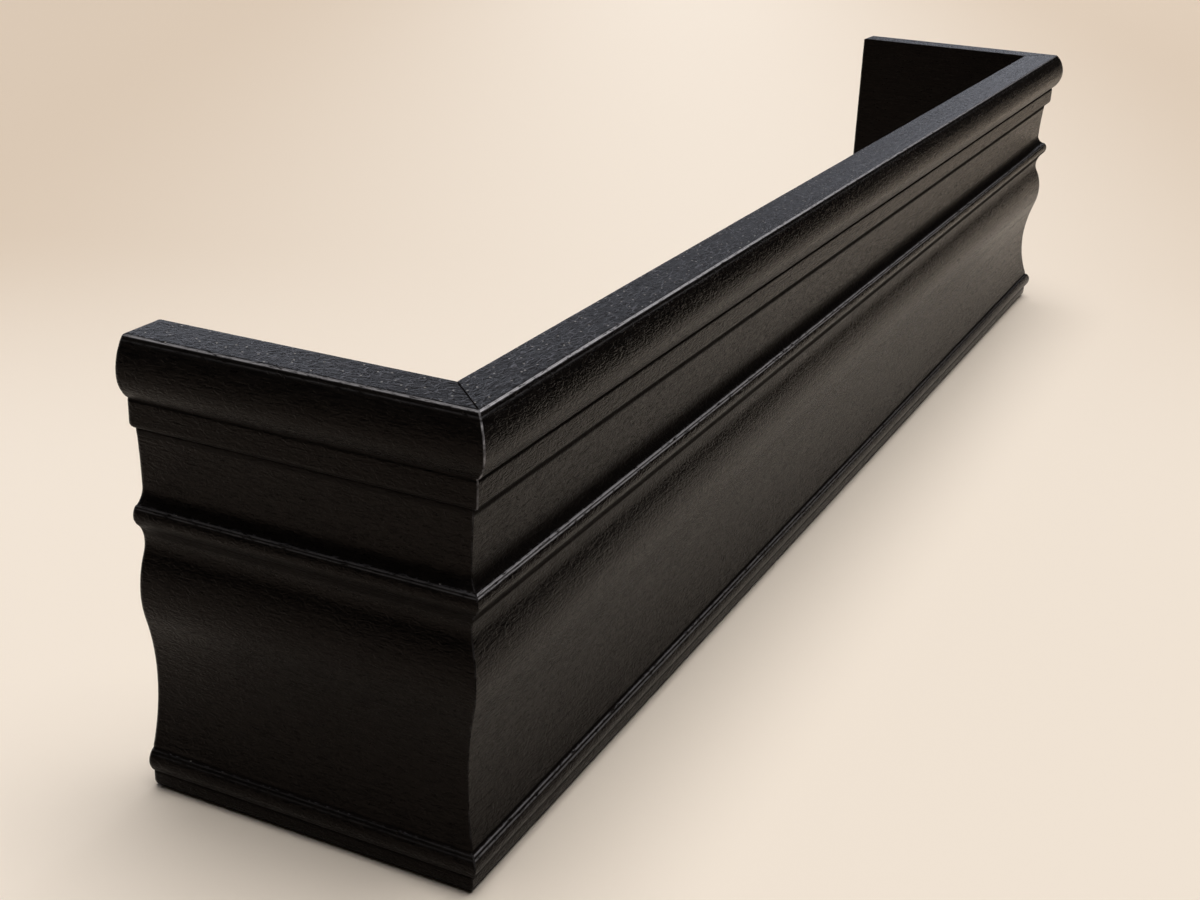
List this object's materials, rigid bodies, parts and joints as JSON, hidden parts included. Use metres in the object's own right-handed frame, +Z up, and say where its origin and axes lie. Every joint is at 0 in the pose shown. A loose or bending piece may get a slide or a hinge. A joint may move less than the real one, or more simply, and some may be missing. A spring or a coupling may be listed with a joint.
{
  "type": "curtain pelmet",
  "caption": "Moulded wooden curtain pelmet: a long profiled front board with a mitred return at each end, open at the top, foot and wall side, to hide a curtain track.",
  "frame": {"origin": "on the surface it stands on, under the middle of the whole pelmet's length and depth", "axes": "+X runs along the front board, -Y is the moulded front, +Y is the wall side, +Z is up"},
  "size_m": [0.779, 0.132, 0.1651],
  "materials": {
    "black_finished_wood": "satin black stain and lacquer over fine-grained wood",
    "corner_block_wood": "thin black stain on sawn wood"
  },
  "bodies": {
    "root": {"front_board": "black_finished_wood", "left_return": "black_finished_wood", "right_return": "black_finished_wood", "left_corner_block": "corner_block_wood", "right_corner_block": "corner_block_wood"}
  },
  "joints": []
}
